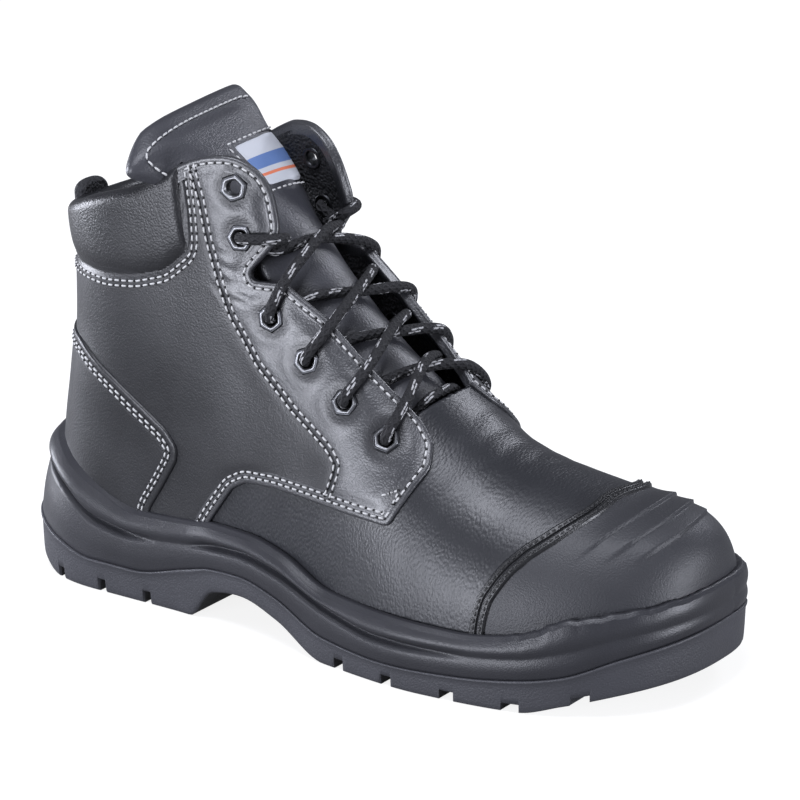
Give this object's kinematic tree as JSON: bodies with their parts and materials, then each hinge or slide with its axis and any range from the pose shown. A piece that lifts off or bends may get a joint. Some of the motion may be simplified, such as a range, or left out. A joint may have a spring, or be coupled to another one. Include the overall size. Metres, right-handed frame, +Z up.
{
  "type": "safety boot",
  "caption": "Ankle-high lace-up safety boot for the right foot: stitched leather upper with toe cap, padded collar and tongue on a moulded lugged sole.",
  "frame": {"origin": "middle of the sole's length and width, on the ground", "axes": "+X to the toe, +Y to the inner side of the foot, +Z up"},
  "size_m": [0.3075, 0.1157, 0.196],
  "materials": {
    "upper_leather": "smooth full-grain leather with a soft sheen",
    "panel_leather": "smooth full-grain leather with a soft sheen",
    "cap_leather": "coated leather, matt",
    "pad_leather": "soft pebbled leather over padding",
    "label_fabric": "bare woven patch",
    "midsole_pu": "moulded, matt",
    "outsole_rubber": "moulded, matt",
    "insole_fabric": "woven cover on foam",
    "eyelet_metal": "dark nickel",
    "lace_cord": "round braid"
  },
  "bodies": {
    "root": {"back_tab": "panel_leather", "backstay": "panel_leather", "collar_pad": "pad_leather", "eyelet_lateral_1": "eyelet_metal", "eyelet_lateral_2": "eyelet_metal", "eyelet_lateral_3": "eyelet_metal", "eyelet_lateral_4": "eyelet_metal", "eyelet_lateral_5": "eyelet_metal", "eyelet_lateral_6": "eyelet_metal", "eyelet_medial_1": "eyelet_metal", "eyelet_medial_2": "eyelet_metal", "eyelet_medial_3": "eyelet_metal", "eyelet_medial_4": "eyelet_metal", "eyelet_medial_5": "eyelet_metal", "eyelet_medial_6": "eyelet_metal", "heel_counter": "panel_leather", "insole": "insole_fabric", "lace_bar": "lace_cord", "lace_crossing_1": "lace_cord", "lace_crossing_2": "lace_cord", "lace_crossing_3": "lace_cord", "lace_crossing_4": "lace_cord", "midsole": "midsole_pu", "outsole": "outsole_rubber", "quarter_lateral": "panel_leather", "quarter_medial": "panel_leather", "toe_cap": "cap_leather", "tongue": "pad_leather", "tongue_label": "label_fabric", "upper": "upper_leather"}
  },
  "joints": []
}
